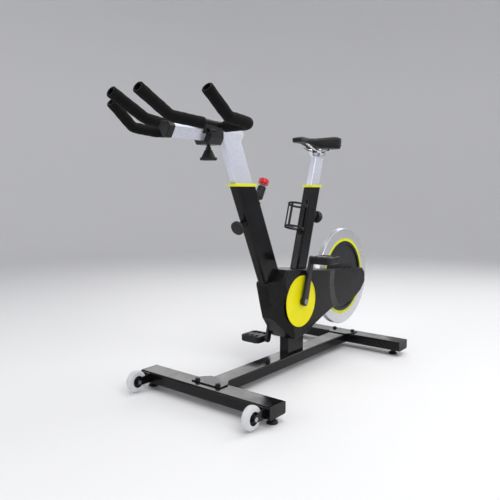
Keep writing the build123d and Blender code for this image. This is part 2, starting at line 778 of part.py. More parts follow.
def cover_body(side, outer_y, shrink):
    # One half of the cover, grown from the middle plane out to its side wall.
    top_y = outer_y - shrink
    if side > 0:
        plane, way = side_plane(top_y), (0, -1, 0)
    else:
        plane, way = side_plane(-top_y), (0, 1, 0)
    with BuildPart(mode=Mode.PRIVATE) as body:
        add(cover_sketch(plane, shrink))
        extrude(amount=top_y + (20 if shrink > 0 else -0.2), dir=way)
        outer = body.faces().sort_by(Axis.Y)[-1 if side > 0 else 0]
        fillet(outer.edges(), cover_round - shrink)
        # The side wall dishes in around the flywheel axis.
        if side > 0:
            dish = Cone(dish_inner, dish_inner + 2 * dish_slope, 2 * (outer_y - cover_rear_y), mode=Mode.PRIVATE)
            add(Pos(wheel_axis_x, outer_y - shrink, wheel_axis_z) * Rot(-90, 0, 0) * dish, mode=Mode.SUBTRACT)
        # The front corner is bevelled along the sloping nose.
        start = Vector(94, side * (24 - shrink), 368)
        along = Vector(41, 0, 139)
        across = Vector(-78, side * (top_y - 24 + shrink), 0)
        normal = along.cross(across) * (-side)
        with BuildSketch(Plane(origin=start, z_dir=normal)):
            Rectangle(900, 900)
        extrude(amount=200, mode=Mode.SUBTRACT)
    return body.part


def cover_half(name, side, outer_y):
    with BuildPart() as cover:
        add(cover_body(side, outer_y, 0))
        add(cover_body(side, outer_y, cover_wall), mode=Mode.SUBTRACT)
        # Clear the flywheel behind the front part.
        y0, y1 = sorted((0, side * flywheel_clear_y))
        add(block(-700, flywheel_slot_x, y0 - 1, y1 + 1, 100, 500), mode=Mode.SUBTRACT)
        # Openings for the two frame tubes and the neck.
        add(leaning_box(front_plane(250), 400, post_tube_depth + 0.6, post_tube_width + 0.6, 8), mode=Mode.SUBTRACT)
        add(leaning_box(seat_plane(300), 400, seat_tube_depth + 0.6, seat_tube_width + 0.6, 8), mode=Mode.SUBTRACT)
        add(block(neck_x - neck_depth / 2 - 0.3, neck_x + neck_depth / 2 + 0.3,
                  -neck_width / 2 - 0.3, neck_width / 2 + 0.3, 100, 300), mode=Mode.SUBTRACT)
        if side > 0:
            add(rod_y(crank_x, crank_z, 20, 70, disc_radius + 3), mode=Mode.SUBTRACT)
        else:
            add(rod_y(crank_x, crank_z, -70, -20, 16), mode=Mode.SUBTRACT)
            add(rod_y(crank_x, crank_z, -outer_y - 2, -outer_y, 26))
            add(rod_y(crank_x, crank_z, -70, -20, 16), mode=Mode.SUBTRACT)
            add(bent_tube(cable_points, cable_bend, cable_radius + 1), mode=Mode.SUBTRACT)
    return cover


cable_radius = 2.5
cable_side = -23.5
cable_points = [
    (front_x(650) - 66, 0, 664), (front_x(640) - post_tube_depth / 2 - 9, 0, 640),
    (front_x(450) - post_tube_depth / 2 - 9, 0, 450), (-52, cable_side, 372), (-110, cable_side - 1, 345),
    (-190, cable_side + 1, 352), (-232, -12, 340),
]
cable_bend = 14.0

screw_places = [(-240, 292), (-205, 186), (-545, 304)]
screw_radius = 2.5


def screw_face_y(x, z):
    # Outer face of the left cover where a screw sits.
    inside_dish = hypot(x - wheel_axis_x, z - wheel_axis_z) < dish_inner
    return cover_rear_y if inside_dish else disc_face_y


for cover_name, cover_side, cover_y in (("left_cover", 1, disc_face_y), ("right_cover", -1, right_cover_y)):
    half = cover_half(cover_name, cover_side, cover_y)
    with BuildPart() as finished:
        add(half.part)
        for x, z in screw_places:
            depth = (screw_face_y(x, z) if cover_side > 0 else right_cover_y) - 2
            y0, y1 = sorted((cover_side * depth, cover_side * (depth + 20)))
            add(rod_y(x, z, y0, y1, 5), mode=Mode.SUBTRACT)
            y2, y3 = sorted((cover_side * 16, cover_side * depth))
            add(rod_y(x, z, y2, y3, 6))
            add(rod_y(x, z, y2 - 1, y3 + 1, screw_radius), mode=Mode.SUBTRACT)
    save(finished, cover_name)

with BuildPart() as cover_screws:
    for side in (-1, 1):
        for x, z in screw_places:
            depth = (screw_face_y(x, z) if side > 0 else right_cover_y) - 2
            y0, y1 = sorted((side * (depth - 18), side * depth))
            add(rod_y(x, z, y0, y1, screw_radius - run_gap))
            y2, y3 = sorted((side * depth, side * (depth + 1.6)))
            add(rod_y(x, z, y2, y3, 4.5))
save(cover_screws, "cover_screws")

# ---------------------------------------------------------------- magnetic brake
cheek_in = 16.5
cheek_out = 18.0
magnet_gap = 2.5

with BuildPart() as brake_yoke:
    for side in (-1, 1):
        y0, y1 = sorted((side * 8.5, side * cheek_out))
        with BuildSketch(side_plane(y1)):
            with BuildLine():
                Polyline((-246, 309), (-238, 316), (-240, 327), (-262, 338), (-283, 340), (-283, 322), (-262, 310),
                         close=True)
            make_face()
        extrude(amount=y1 - y0)
        y2, y3 = sorted((side * (flywheel_half + magnet_gap), side * cheek_out))
        with BuildSketch(side_plane(y3)):
            with BuildLine():
                Polyline((-281, 322), (-281, 342), (-300, 354), (-336, 354), (-336, 332), (-300, 322), close=True)
            make_face()
        extrude(amount=y3 - y2)
    add(block(-286, -273, -cheek_out, cheek_out, 326, 340))
    add(rod_y(pivot_x, pivot_z, -20, 20, brake_pin_radius))
    add(rod_y(wheel_axis_x, wheel_axis_z, -flywheel_half - magnet_gap, flywheel_half + magnet_gap,
              flywheel_radius + 5), mode=Mode.SUBTRACT)
save(brake_yoke, "brake_yoke")

# Resistance control behind the top of the front post.
control_lean = 28.0
control_base = Vector(109, 0, 680)
control_axis = Vector(-sin(radians(control_lean)), 0, cos(radians(control_lean)))
control_plane = Plane(origin=control_base, x_dir=(0, 1, 0), z_dir=control_axis)
housing_length = 44.0
push_travel = 8.0

with BuildPart() as control_housing:
    add(pin_boss(control_plane, 0, housing_length, 15))
    tube_back = front_plane(662)
    with BuildSketch(tube_back.offset(-14)):
        with Locations((-post_tube_depth / 2 - 9, 0)):
            RectangleRounded(28, 24, 4)
    extrude(amount=32)
    add(leaning_box(front_plane(600), 300, post_tube_depth + 0.1, post_tube_width + 0.1, 8), mode=Mode.SUBTRACT)
    add(pin_boss(control_plane, 6, housing_length, 5 + run_gap), mode=Mode.SUBTRACT)
    add(pin_boss(control_plane, 6, housing_length - 14, 8), mode=Mode.SUBTRACT)
save(control_housing, "resistance_housing")

with BuildPart() as control_shaft:
    add(pin_boss(control_plane, 16, housing_length + 6, 5))
    add(pin_boss(control_plane, 18, 8, 7.5))
save(control_shaft, "resistance_shaft")

knob_start = housing_length + push_travel + 1.5
with BuildPart() as control_knob:
    add(pin_boss(control_plane, knob_start, 6, 13))
    with BuildSketch(control_plane.offset(knob_start + 4)):
        Circle(19)
        with PolarLocations(21.5, 8):
            Circle(4.5, mode=Mode.SUBTRACT)
    extrude(amount=18)
    crown = control_knob.faces().filter_by(GeomType.PLANE).sort_by(Axis(control_base, control_axis))[-1]
    chamfer(crown.edges(), 3)
    add(pin_boss(control_plane, 10, housing_length + 12.2, 5 + run_gap), mode=Mode.SUBTRACT)
save(control_knob, "resistance_knob")

with BuildPart() as brake_cable:
    add(bent_tube(cable_points, cable_bend, cable_radius))
save(brake_cable, "brake_cable")

# ---------------------------------------------------------------- handlebar post and rail
post_bottom_z = 470.0
post_shut_z = 877.0
rail_ridge_z = rail_bottom_z + 31.0
rail_top_z = rail_bottom_z + rail_height
rail_profile = [(-6, 0), (6, 0), (24, 31), (12, 46), (-12, 46), (-24, 31)]
groove_width = 2 * pin_radius + 1
rail_wall = 3.0


def rail_bar(x0, x1, grow):
    with BuildPart(mode=Mode.PRIVATE) as body:
        with BuildSketch(Plane.YZ.offset(x0)):
            with BuildLine():
                Polyline(*[(y, rail_bottom_z + z) for y, z in rail_profile], close=True)
            make_face()
            if grow != 0:
                offset(amount=grow, kind=Kind.INTERSECTION)
        extrude(amount=x1 - x0)
    return body.part


def sliding_post(section_low, length, depth, width, top_z, groove_line, gap_to_wall, low, high):
    # Hollow silver post, cut level at the top, with the groove its locking pin rides in.
    with BuildPart(mode=Mode.PRIVATE) as body:
        add(leaning_box(section_low, length, depth, width, 5))
        add(leaning_box(section_low.offset(-1), length, depth - 2 * tube_wall, width - 2 * tube_wall, 3),
            mode=Mode.SUBTRACT)
        add(block(-700, 700, -60, 60, top_z, top_z + 300), mode=Mode.SUBTRACT)
        outer = -gap_to_wall + 2
        middle = (low + high) / 2
        with BuildSketch(groove_line.offset(outer)):
            with Locations((0, middle)):
                SlotOverall(high - low, groove_width, rotation=90)
        extrude(amount=-groove_depth - 2, mode=Mode.SUBTRACT)
    return body.part


post_run = (post_shut_z - post_bottom_z + 60) / cos(radians(post_angle))
front_line = Plane(origin=front_pin_plane.origin, x_dir=(0, 1, 0), z_dir=front_pin_plane.z_dir)
seat_line = Plane(origin=seat_pin_plane.origin, x_dir=(0, -1, 0), z_dir=seat_pin_plane.z_dir)
with BuildPart() as handlebar_post:
    add(sliding_post(front_plane(post_bottom_z), post_run, post_depth, post_width, post_shut_z,
                     front_line, front_wall_gap, -60, 122))
    add(rail_bar(100, 500, 0), mode=Mode.SUBTRACT)
    add(rail_bar(100, rail_back_x, 1.2), mode=Mode.SUBTRACT)
save(handlebar_post, "handlebar_post")

with BuildPart() as handlebar_rail:
    add(rail_bar(rail_back_x, rail_front_x, 0))
    add(rail_bar(rail_back_x + rail_wall, rail_front_x + 1, -rail_wall), mode=Mode.SUBTRACT)
save(handlebar_rail, "handlebar_rail")

with BuildPart() as rail_end_cap:
    add(rail_bar(rail_front_x, rail_front_x + 24, 1.5))
    nose = rail_end_cap.faces().sort_by(Axis.X)[-1]
    chamfer(nose.edges(), 3)
    add(rail_bar(rail_front_x - 14, rail_front_x, -rail_wall - 0.2))
save(rail_end_cap, "rail_end_cap")

# ---------------------------------------------------------------- sliding handlebar
carriage_back = carriage_x - carriage_length / 2
carriage_front = carriage_x + carriage_length / 2
carriage_half = 38.0
carriage_low_z = rail_bottom_z - 12.0
bridge_z = rail_top_z + 3.0
bridge_top_z = bridge_z + 5.0
channel_gap = 0.4
clamp_stud = 6.0
clamp_x = carriage_x - 8

with BuildPart() as carriage:
    with BuildSketch(Plane.YZ.offset(carriage_back)):
        with BuildLine():
            Polyline((-26, carriage_low_z), (26, carriage_low_z), (carriage_half, carriage_low_z + 20),
                     (carriage_half, bridge_z), (-carriage_half, bridge_z),
                     (-carriage_half, carriage_low_z + 20), close=True)
        make_face()
    extrude(amount=carriage_length)
    add(rail_bar(carriage_back - 1, carriage_front + 1, channel_gap), mode=Mode.SUBTRACT)
    add(block(carriage_back - 1, carriage_front + 1, -19, 19, rail_ridge_z, bridge_z + 1), mode=Mode.SUBTRACT)
    add(block(355, 405, -carriage_half, carriage_half, bridge_z, bridge_top_z))
    cut_top = crossbar_z - bar_tube_radius - 3
    add(block(carriage_front - 19, carriage_front + 1, -50, 50, carriage_low_z - 1, cut_top), mode=Mode.SUBTRACT)
    ends = carriage.edges().filter_by(Axis.X).sort_by(Axis.Z)[:2]
    chamfer(ends, 2)
    add(rod_z(clamp_x, 0, carriage_low_z - 1, rail_bottom_z + 1, clamp_stud + run_gap), mode=Mode.SUBTRACT)
save(carriage, "carriage")

outer_bar = [
    (crossbar_x, carriage_half, crossbar_z), (crossbar_x, horn_y, crossbar_z),
    (510, horn_y + 2, 910), (596, horn_y - 1, 980),
]
aero_bar = [(crossbar_x + 11, 76, 903), (588, 53, 918), (709.6, 57, 981)]
outer_bend = 34.0
aero_bend = 70.0
outer_foam = [(crossbar_x, 98, crossbar_z)] + outer_bar[1:]
aero_foam = [(470, 68.7, 907.8)] + aero_bar[1:]

with BuildPart() as handlebar_tubes:
    for points in (outer_bar, mirrored(outer_bar)):
        add(bent_tube(points, outer_bend, bar_tube_radius, bar_tube_radius - bar_tube_wall))
    for points in (aero_bar, mirrored(aero_bar)):
        add(bent_tube(points, aero_bend, bar_tube_radius, bar_tube_radius - bar_tube_wall))
save(handlebar_tubes, "handlebar_tubes")


def grip_pair(name, points, bend):
    with BuildPart() as grips:
        for path in (points, mirrored(points)):
            add(bent_tube(path, bend, foam_radius, bar_tube_radius + 0.2))
    save(grips, name)


grip_pair("outer_grips", outer_foam, outer_bend)
grip_pair("aero_grips", aero_foam, aero_bend)

with BuildPart() as console_tray:
    with BuildSketch(Plane.XY.offset(bridge_top_z + 6)):
        with Locations((381, 0)):
            RectangleRounded(107, 80, 8)
    extrude(amount=4)
    with BuildSketch(Plane.XY.offset(bridge_top_z + 8.5)):
        with Locations((381, 0)):
            RectangleRounded(95, 68, 5)
    extrude(amount=3, mode=Mode.SUBTRACT)
    add(block(358, 402, -22, 22, bridge_top_z, bridge_top_z + 6))
save(console_tray, "console_tray")

with BuildPart() as clamp_knob:
    with BuildSketch(Plane.XY.offset(803)):
        with Locations((clamp_x, 0)):
            Circle(25)
            with PolarLocations(22, 6):
                Circle(6)
    extrude(amount=9)
    chamfer(clamp_knob.faces().sort_by(Axis.Z)[0].edges(), 1.5)
    with BuildSketch(Plane.XY.offset(812)):
        with Locations((clamp_x, 0)):
            Circle(23)
    with BuildSketch(Plane.XY.offset(836)):
        with Locations((clamp_x, 0)):
            Circle(12)
    loft()
    add(rod_z(clamp_x, 0, 836, 845, 9))
    add(rod_z(clamp_x, 0, 845, rail_bottom_z - 0.6, clamp_stud))
save(clamp_knob, "clamp_knob")

# ---------------------------------------------------------------- seat post and saddle
seat_bottom_z = 520.0
seat_run_up = (box_top_z - seat_bottom_z + 60) / cos(radians(seat_angle))
pillar_x = round(seat_x(box_top_z))
pillar_radius = 11.1
tilt_z = box_top_z + 12.5
tilt_bolt = 4.0
head_half = 12.0
cheek_inner = head_half + 0.3
cheek_outer = saddle_rail_y + saddle_rail_radius + 4.5
clamp_half = 20.0
setback = 15.0
base_thick = 6.0
rail_bend = 14.0

with BuildPart() as seat_post:
    add(sliding_post(seat_plane(seat_bottom_z), seat_run_up, seat_post_depth, seat_post_width, box_top_z - 3,
                     seat_line, seat_wall_gap, -70, 112))
    with BuildSketch(Plane.XY.offset(box_top_z - 3)):
        with Locations((seat_x(box_top_z - 1.5), 0)):
            RectangleRounded(seat_post_depth / cos(radians(seat_angle)), seat_post_width, 5)
    extrude(amount=3)
    add(rod_z(pillar_x, 0, box_top_z, tilt_z, pillar_radius))
    add(rod_y(pillar_x, tilt_z, -head_half, head_half, 12))
    add(rod_y(pillar_x, tilt_z, -20, 20, tilt_bolt + run_gap), mode=Mode.SUBTRACT)
save(seat_post, "seat_post")

with BuildPart() as saddle_clamp:
    for side in (-1, 1):
        y0, y1 = sorted((side * cheek_inner, side * cheek_outer))
        with BuildSketch(side_plane(y1)):
            with BuildLine():
                Polyline((pillar_x - 12, tilt_z - 9), (pillar_x + 12, tilt_z - 9),
                         (pillar_x + clamp_half, tilt_z + 8), (pillar_x + clamp_half, tilt_z + 18),
                         (pillar_x - clamp_half, tilt_z + 18), (pillar_x - clamp_half, tilt_z + 8), close=True)
            make_face()
        extrude(amount=y1 - y0)
        add(Pos(pillar_x, side * saddle_rail_y, saddle_rail_z) * Rot(0, 90, 0)
            * Cylinder(saddle_rail_radius + run_gap, 80, mode=Mode.PRIVATE), mode=Mode.SUBTRACT)
    add(rod_y(pillar_x, tilt_z, -cheek_outer - 2, cheek_outer + 2, tilt_bolt))
    for side in (-1, 1):
        y0, y1 = sorted((side * cheek_outer, side * (cheek_outer + 6)))
        with BuildSketch(side_plane(y1)):
            with Locations((pillar_x, tilt_z)):
                RegularPolygon(8, 6)
        extrude(amount=y1 - y0)
save(saddle_clamp, "saddle_clamp")

straight_half = clamp_half + setback + rail_bend / 2 + 4
rail_path = [
    (pillar_x + straight_half + 80, 9, 905), (pillar_x + straight_half + 30, saddle_rail_y, saddle_rail_z + 8),
    (pillar_x + straight_half, saddle_rail_y, saddle_rail_z),
    (pillar_x - straight_half, saddle_rail_y, saddle_rail_z), (pillar_x - straight_half - 22, 30, 890),
]

saddle_back_x = saddle_nose_x - saddle_length


def saddle_outline(shrink):
    half = saddle_width / 2 - shrink
    nose = saddle_nose_x - shrink
    tail = saddle_back_x + shrink
    right = [
        (nose, 0), (nose - 8, 15 - shrink / 2), (nose - 60, 21 - shrink), (nose - 120, 31 - shrink),
        (nose - 170, 54 - shrink), (nose - 215, half - 4), (tail + 30, half),
        (tail + 8, half - 18), (tail, half - 46), (tail + 4, 0),
    ]
    left = [(x, -y) for x, y in reversed(right[1:-1])]
    with BuildSketch(mode=Mode.PRIVATE) as outline:
        with BuildLine():
            Spline(*right, *left, periodic=True)
        make_face()
    return outline.sketch


def saddle_profile(low_shift, high_points):
    # Side profile between the curved underside, moved by low_shift, and an upper line.
    under = [(saddle_nose_x + 12, 901), (saddle_nose_x - 60, 899), (saddle_nose_x - 105, 894),
             (saddle_nose_x - 150, saddle_base_z), (saddle_back_x - 20, saddle_base_z)]
    with BuildPart(mode=Mode.PRIVATE) as slab:
        with BuildSketch(Plane.XZ.offset(-120)):
            with BuildLine():
                low = Polyline(*[(x, z + low_shift) for x, z in under])
                if high_points:
                    high = Spline(*high_points)
                else:
                    high = Polyline(*under)
                Line(low @ 0, high @ 0)
                Line(low @ 1, high @ 1)
            make_face()
        extrude(amount=240)
    return slab.part


with BuildPart() as saddle_base:
    with BuildSketch(Plane.XY.offset(saddle_base_z - 30)):
        add(saddle_outline(5))
    extrude(amount=80)
    add(saddle_profile(-base_thick, []), mode=Mode.INTERSECT)
save(saddle_base, "saddle_base")

with BuildPart() as saddle_rails:
    for points in (rail_path, mirrored(rail_path)):
        add(bent_tube(points, rail_bend, saddle_rail_radius))
    add(saddle_profile(-base_thick, [(saddle_nose_x + 12, 960), (saddle_back_x - 20, 960)]), mode=Mode.SUBTRACT)
save(saddle_rails, "saddle_rails")

crest = [
    (saddle_nose_x + 12, 904), (saddle_nose_x - 8, 912), (saddle_nose_x - 80, 912),
    (saddle_nose_x - 160, 915), (saddle_nose_x - 225, 923), (saddle_back_x + 8, 921), (saddle_back_x - 20, 908),
]
with BuildPart() as saddle_pad:
    with BuildSketch(Plane.XY.offset(saddle_base_z - 30)):
        add(saddle_outline(0))
    extrude(amount=90)
    add(saddle_profile(0, crest), mode=Mode.INTERSECT)
    top_face = saddle_pad.faces().sort_by(Axis.Z)[-1]
    fillet(top_face.edges(), 5)
save(saddle_pad, "saddle_pad")

# ---------------------------------------------------------------- bottle cage
cage_radius = 39.0
cage_wire = 3.0
cage_low = seat_plane(535)
cage_shift = seat_tube_depth / 2 + 5.5 + cage_radius
cage_height = 100.0

with BuildPart() as bottle_cage:
    # Back strip screwed to the tube, floor ring and shelf, upper loop and two side wires.
    strip = cage_low.offset(-8)
    with BuildSketch(strip):
        with Locations((seat_tube_depth / 2 + 4.5, 0)):
            RectangleRounded(3, 20, 1)
    extrude(amount=cage_height + 40)
    for rise in (20, 100):
        with BuildSketch(strip.offset(rise)):
            with Locations((seat_tube_depth / 2 + 1.5, 0)):
                Rectangle(3, 12)
        extrude(amount=12)
    for rise, tall in ((0, 8), (cage_height - 8, 8)):
        with BuildSketch(cage_low.offset(rise)):
            with Locations((cage_shift, 0)):
                Circle(cage_radius)
                Circle(cage_radius - cage_wire, mode=Mode.SUBTRACT)
        extrude(amount=tall)
    with BuildSketch(cage_low):
        with Locations((cage_shift, 0)):
            Rectangle(2 * cage_radius - 2, 14)
    extrude(amount=3)
    for angle in (-75, 75, 0):
        with BuildSketch(cage_low):
            with Locations((cage_shift, 0)):
                with PolarLocations(cage_radius - cage_wire / 2, 1, start_angle=angle):
                    Rectangle(3, 9)
        extrude(amount=cage_height)
save(bottle_cage, "bottle_cage")
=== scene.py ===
import json
import math

import bmesh
import bpy
from mathutils import Matrix, Vector


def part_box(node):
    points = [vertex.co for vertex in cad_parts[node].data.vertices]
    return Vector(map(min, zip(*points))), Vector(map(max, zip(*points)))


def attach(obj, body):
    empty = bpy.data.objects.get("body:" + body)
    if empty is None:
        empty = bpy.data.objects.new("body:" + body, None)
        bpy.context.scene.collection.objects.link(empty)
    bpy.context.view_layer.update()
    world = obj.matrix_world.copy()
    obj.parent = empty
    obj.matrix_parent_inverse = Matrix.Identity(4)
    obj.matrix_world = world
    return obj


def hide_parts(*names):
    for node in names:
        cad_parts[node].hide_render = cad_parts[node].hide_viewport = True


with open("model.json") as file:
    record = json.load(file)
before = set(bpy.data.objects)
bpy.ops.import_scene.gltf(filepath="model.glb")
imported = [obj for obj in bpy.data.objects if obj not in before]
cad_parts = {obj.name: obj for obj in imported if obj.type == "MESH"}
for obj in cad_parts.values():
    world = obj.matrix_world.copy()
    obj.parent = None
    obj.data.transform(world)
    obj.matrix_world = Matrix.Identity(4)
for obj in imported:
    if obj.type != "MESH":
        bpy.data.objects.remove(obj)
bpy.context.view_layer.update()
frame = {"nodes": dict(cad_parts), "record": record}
nodes = frame["nodes"]
print("frame loaded", len(nodes), "nodes")


# ---- node helpers
def makeGroup(name, inputs, outputs):
    group = bpy.data.node_groups.new(name, "ShaderNodeTree")
    for label, kind, value in inputs:
        socket = group.interface.new_socket(label, in_out="INPUT", socket_type="NodeSocket" + kind)
        if value is not None:
            socket.default_value = value
    for label, kind in outputs:
        group.interface.new_socket(label, in_out="OUTPUT", socket_type="NodeSocket" + kind)
    enter = group.nodes.new("NodeGroupInput")
    leave = group.nodes.new("NodeGroupOutput")
    return group, enter, leave


def addNode(tree, kind, **values):
    node = tree.nodes.new(kind)
    for key, value in values.items():
        setattr(node, key, value)
    return node


def addMath(tree, operation, first, second=None):
    node = addNode(tree, "ShaderNodeMath", operation=operation)
    for index, value in enumerate((first, second)):
        if value is None:
            continue
        if isinstance(value, (int, float)):
            node.inputs[index].default_value = value
        else:
            tree.links.new(value, node.inputs[index])
    return node.outputs[0]


def addRange(tree, value, low, high, toLow=0.0, toHigh=1.0):
    node = addNode(tree, "ShaderNodeMapRange", interpolation_type="SMOOTHSTEP")
    tree.links.new(value, node.inputs["Value"])
    for label, number in (("From Min", low), ("From Max", high), ("To Min", toLow), ("To Max", toHigh)):
        node.inputs[label].default_value = number
    return node.outputs["Result"]


# ---- scene helpers
def placeObject(name, data):
    piece = bpy.data.objects.new(name, data)
    bpy.context.scene.collection.objects.link(piece)
    return piece


def shadeSmooth(mesh):
    for polygon in mesh.polygons:
        polygon.use_smooth = True


# ---- shared surface effects
def buildGrain():
    # Soft cloudy mask and a fine height, both in object space.
    group, enter, leave = makeGroup(
        "fineGrain",
        [("Vector", "Vector", None), ("Cloud Scale", "Float", 9.0), ("Grain Scale", "Float", 900.0)],
        [("Cloud", "Float"), ("Grain", "Float")])
    cloud = addNode(group, "ShaderNodeTexNoise")
    cloud.inputs["Detail"].default_value = 5
    cloud.inputs["Roughness"].default_value = 0.6
    grain = addNode(group, "ShaderNodeTexNoise")
    grain.inputs["Detail"].default_value = 3
    group.links.new(enter.outputs["Vector"], cloud.inputs["Vector"])
    group.links.new(enter.outputs["Vector"], grain.inputs["Vector"])
    group.links.new(enter.outputs["Cloud Scale"], cloud.inputs["Scale"])
    group.links.new(enter.outputs["Grain Scale"], grain.inputs["Scale"])
    group.links.new(addRange(group, cloud.outputs["Fac"], 0.35, 0.68), leave.inputs["Cloud"])
    group.links.new(grain.outputs["Fac"], leave.inputs["Grain"])
    return group


def buildBrush():
    # Long thin lines left by brushing or turning.
    group, enter, leave = makeGroup(
        "brushedLines",
        [("Vector", "Vector", None), ("Stretch", "Vector", (1.0, 1.0, 1.0)), ("Scale", "Float", 400.0)],
        [("Lines", "Float")])
    stretch = addNode(group, "ShaderNodeVectorMath", operation="MULTIPLY")
    lines = addNode(group, "ShaderNodeTexNoise")
    lines.inputs["Detail"].default_value = 4
    group.links.new(enter.outputs["Vector"], stretch.inputs[0])
    group.links.new(enter.outputs["Stretch"], stretch.inputs[1])
    group.links.new(stretch.outputs[0], lines.inputs["Vector"])
    group.links.new(enter.outputs["Scale"], lines.inputs["Scale"])
    group.links.new(lines.outputs["Fac"], leave.inputs["Lines"])
    return group


def buildDust():
    # Thin dust that settles on faces that look up.
    group, enter, leave = makeGroup(
        "settledDust",
        [("Vector", "Vector", None), ("Amount", "Float", 0.1)],
        [("Mask", "Float")])
    geometry = addNode(group, "ShaderNodeNewGeometry")
    split = addNode(group, "ShaderNodeSeparateXYZ")
    speck = addNode(group, "ShaderNodeTexNoise")
    speck.inputs["Scale"].default_value = 60
    speck.inputs["Detail"].default_value = 6
    group.links.new(geometry.outputs["Normal"], split.inputs[0])
    group.links.new(enter.outputs["Vector"], speck.inputs["Vector"])
    up = addRange(group, split.outputs["Z"], 0.35, 1.0)
    patch = addRange(group, speck.outputs["Fac"], 0.38, 0.75)
    both = addMath(group, "MULTIPLY", up, patch)
    group.links.new(addMath(group, "MULTIPLY", both, enter.outputs["Amount"]), leave.inputs["Mask"])
    return group


def buildEdge():
    # Painted edge highlight: a lighter colour, broken up by noise, where the rounded normal leaves the true
    # one. The rounded normal is also passed on as the shading normal.
    group, enter, leave = makeGroup(
        "paintedEdgeHighlight",
        [("Vector", "Vector", None), ("Width", "Float", 0.0012), ("Amount", "Float", 0.3)],
        [("Mask", "Float"), ("Normal", "Vector")])
    geometry = addNode(group, "ShaderNodeNewGeometry")
    bevel = addNode(group, "ShaderNodeBevel", samples=4)
    dot = addNode(group, "ShaderNodeVectorMath", operation="DOT_PRODUCT")
    breakup = addNode(group, "ShaderNodeTexNoise")
    breakup.inputs["Scale"].default_value = 120
    group.links.new(enter.outputs["Width"], bevel.inputs["Radius"])
    group.links.new(bevel.outputs[0], dot.inputs[0])
    group.links.new(geometry.outputs["Normal"], dot.inputs[1])
    group.links.new(enter.outputs["Vector"], breakup.inputs["Vector"])
    edge = addRange(group, addMath(group, "SUBTRACT", 1.0, dot.outputs["Value"]), 0.02, 0.22)
    paintedHighlight = addMath(group, "MULTIPLY", edge, addRange(group, breakup.outputs["Fac"], 0.4, 0.62))
    group.links.new(addMath(group, "MULTIPLY", paintedHighlight, enter.outputs["Amount"]), leave.inputs["Mask"])
    group.links.new(bevel.outputs[0], leave.inputs["Normal"])
    return group


effects = {"grain": buildGrain(), "brush": buildBrush(), "dust": buildDust(), "edge": buildEdge()}
